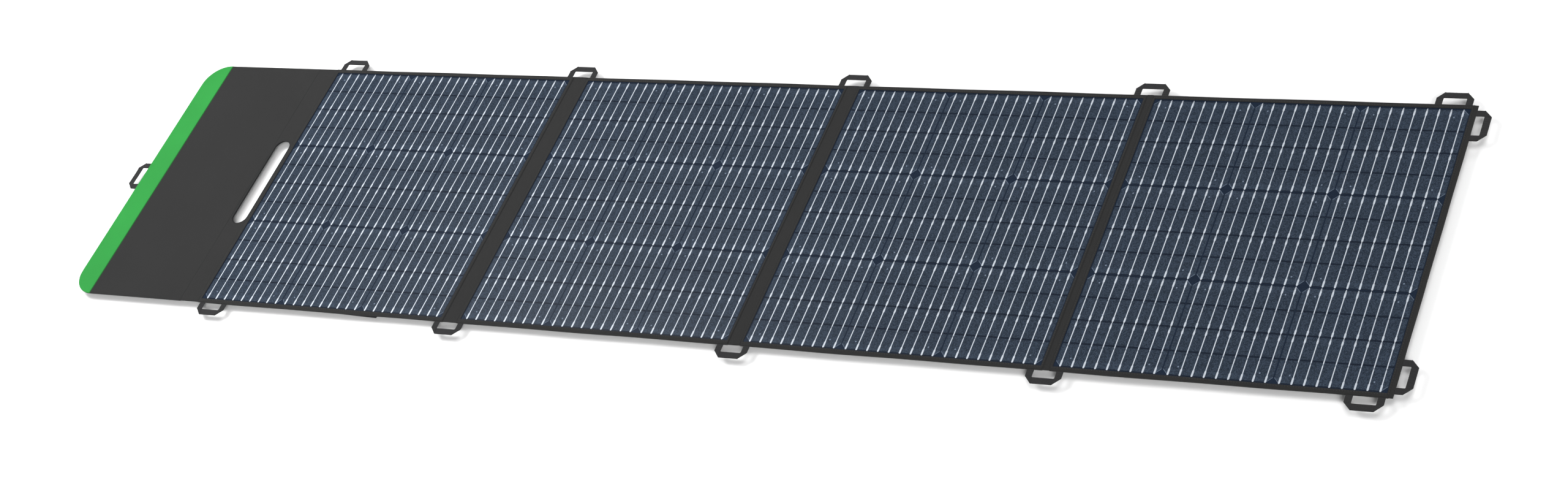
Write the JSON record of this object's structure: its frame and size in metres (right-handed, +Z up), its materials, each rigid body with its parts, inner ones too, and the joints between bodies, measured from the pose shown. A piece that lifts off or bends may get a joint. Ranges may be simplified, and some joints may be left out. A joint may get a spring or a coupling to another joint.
{
  "type": "folding solar blanket",
  "caption": "Long folding solar blanket: framed cell panels on grey fabric with a green-edged closing flap, a carry slot and webbing tie loops along its edges.",
  "frame": {"origin": "on the ground under the middle of the open blanket, loops included", "axes": "+X along the open blanket from the flap to the free end, +Y across it, +Z up out of the cells"},
  "size_m": [2.4622, 0.568, 0.0154],
  "materials": {
    "front_fabric": "matt plain weave",
    "back_fabric": "coated plain weave",
    "green_fabric": "satin coated weave",
    "webbing": "ribbed webbing",
    "handle_webbing": "heavy ribbed webbing",
    "binding_tape": "woven tape",
    "kickstand_fabric": "coated plain weave over board",
    "solar_cell": "printed silicon under film",
    "ribbon": "tinned copper",
    "clear_film": "clear film, fine pebble",
    "backing_board": "dark blue laminate",
    "magnet_steel": "nickel plated",
    "copper_lead": "flat braided copper",
    "zip_tape": "coil zip",
    "zip_metal": "gunmetal",
    "circuit": "circuit board",
    "black_plastic": "moulded"
  },
  "bodies": {
    "panel_1": {"cable_outlet_gland": "black_plastic", "junction_box_case": "black_plastic", "junction_box_lid": "black_plastic", "junction_diode_board": "circuit", "panel_1_back_cover": "back_fabric", "panel_1_backing_board": "backing_board", "panel_1_cells": "solar_cell", "panel_1_front_border": "front_fabric", "panel_1_front_film": "clear_film", "panel_1_ribbons": "ribbon", "panel_1_webbing_loops": "webbing", "pocket_pouch": "back_fabric", "pocket_zip": "zip_tape"},
    "fold_12": {"fold_12_back_fabric": "back_fabric", "fold_12_flat_leads": "copper_lead", "fold_12_front_fabric": "front_fabric", "fold_12_webbing_loops": "webbing"},
    "panel_2": {"panel_2_back_cover": "back_fabric", "panel_2_backing_board": "backing_board", "panel_2_cells": "solar_cell", "panel_2_front_border": "front_fabric", "panel_2_front_film": "clear_film", "panel_2_magnet_keepers": "magnet_steel", "panel_2_ribbons": "ribbon"},
    "fold_23": {"carry_handle": "handle_webbing", "fold_23_back_fabric": "back_fabric", "fold_23_flat_leads": "copper_lead", "fold_23_front_fabric": "front_fabric", "fold_23_webbing_loops": "webbing"},
    "panel_3": {"panel_3_back_cover": "back_fabric", "panel_3_backing_board": "backing_board", "panel_3_cells": "solar_cell", "panel_3_front_border": "front_fabric", "panel_3_front_film": "clear_film", "panel_3_ribbons": "ribbon"},
    "fold_34": {"fold_34_back_fabric": "back_fabric", "fold_34_flat_leads": "copper_lead", "fold_34_front_fabric": "front_fabric", "fold_34_webbing_loops": "webbing"},
    "panel_4": {"panel_4_back_cover": "back_fabric", "panel_4_backing_board": "backing_board", "panel_4_cells": "solar_cell", "panel_4_front_border": "front_fabric", "panel_4_front_film": "clear_film", "panel_4_ribbons": "ribbon", "panel_4_webbing_loops": "webbing"},
    "end_hem": {"end_hem_fabric": "front_fabric", "end_hem_webbing_loops": "webbing"},
    "spine": {"spine_back_cover": "back_fabric", "spine_front_cover": "front_fabric", "spine_slot_binding": "binding_tape"},
    "flap": {"flap_back_cover": "back_fabric", "flap_front_cover": "front_fabric", "flap_green_band": "green_fabric", "flap_magnets": "magnet_steel", "flap_stiffener": "backing_board", "flap_webbing_loop": "webbing"},
    "kickstand_1": {"kickstand_1_board": "kickstand_fabric"},
    "kickstand_4": {"kickstand_4_board": "kickstand_fabric"},
    "zip_slider": {"zip_slider_puller": "zip_metal"}
  },
  "joints": [
    {"name": "fold_12_near_crease", "type": "hinge", "parent": "panel_1", "child": "fold_12", "pos_m": [-0.39845, 0, 0.0137], "axis": [0, -1, 0], "range_deg": [0, 90]},
    {"name": "fold_12_far_crease", "type": "hinge", "parent": "fold_12", "child": "panel_2", "pos_m": [-0.37165, 0, 0.0137], "axis": [0, -1, 0], "range_deg": [0, 90]},
    {"name": "fold_23_near_crease", "type": "hinge", "parent": "panel_2", "child": "fold_23", "pos_m": [0.14345, 0, 0.0137], "axis": [0, -1, 0], "range_deg": [0, 90]},
    {"name": "fold_23_far_crease", "type": "hinge", "parent": "fold_23", "child": "panel_3", "pos_m": [0.16445, 0, 0.0137], "axis": [0, -1, 0], "range_deg": [0, 90]},
    {"name": "fold_34_near_crease", "type": "hinge", "parent": "panel_3", "child": "fold_34", "pos_m": [0.67795, 0, 0.0137], "axis": [0, -1, 0], "range_deg": [0, 90]},
    {"name": "fold_34_far_crease", "type": "hinge", "parent": "fold_34", "child": "panel_4", "pos_m": [0.68795, 0, 0.0137], "axis": [0, -1, 0], "range_deg": [0, 90]},
    {"name": "spine_crease", "type": "hinge", "parent": "panel_1", "child": "spine", "pos_m": [-0.91635, 0, 0.0137], "axis": [0, 1, 0], "range_deg": [0, 90]},
    {"name": "flap_crease", "type": "hinge", "parent": "spine", "child": "flap", "pos_m": [-0.95335, 0, 0.0137], "axis": [0, 1, 0], "range_deg": [0, 90]},
    {"name": "end_hem_crease", "type": "hinge", "parent": "panel_4", "child": "end_hem", "pos_m": [1.20045, 0, 0.0157], "axis": [0, -1, 0], "range_deg": [0, 180]},
    {"name": "kickstand_1_hinge", "type": "hinge", "parent": "panel_1", "child": "kickstand_1", "pos_m": [-0.65705, -0.018, 0.0104], "axis": [-1, 0, 0], "range_deg": [-60, 0]},
    {"name": "kickstand_4_hinge", "type": "hinge", "parent": "panel_4", "child": "kickstand_4", "pos_m": [0.94495, -0.018, 0.0104], "axis": [-1, 0, 0], "range_deg": [-60, 0]},
    {"name": "zip_slide", "type": "slide", "parent": "panel_1", "child": "zip_slider", "axis": [1, 0, 0], "range_m": [0, 0.2]}
  ],
  "couplings": [
    {"joint": "fold_12_far_crease", "follows": "fold_12_near_crease", "ratio": 1},
    {"joint": "fold_23_far_crease", "follows": "fold_23_near_crease", "ratio": 1},
    {"joint": "fold_34_far_crease", "follows": "fold_34_near_crease", "ratio": 1},
    {"joint": "flap_crease", "follows": "spine_crease", "ratio": 1}
  ]
}
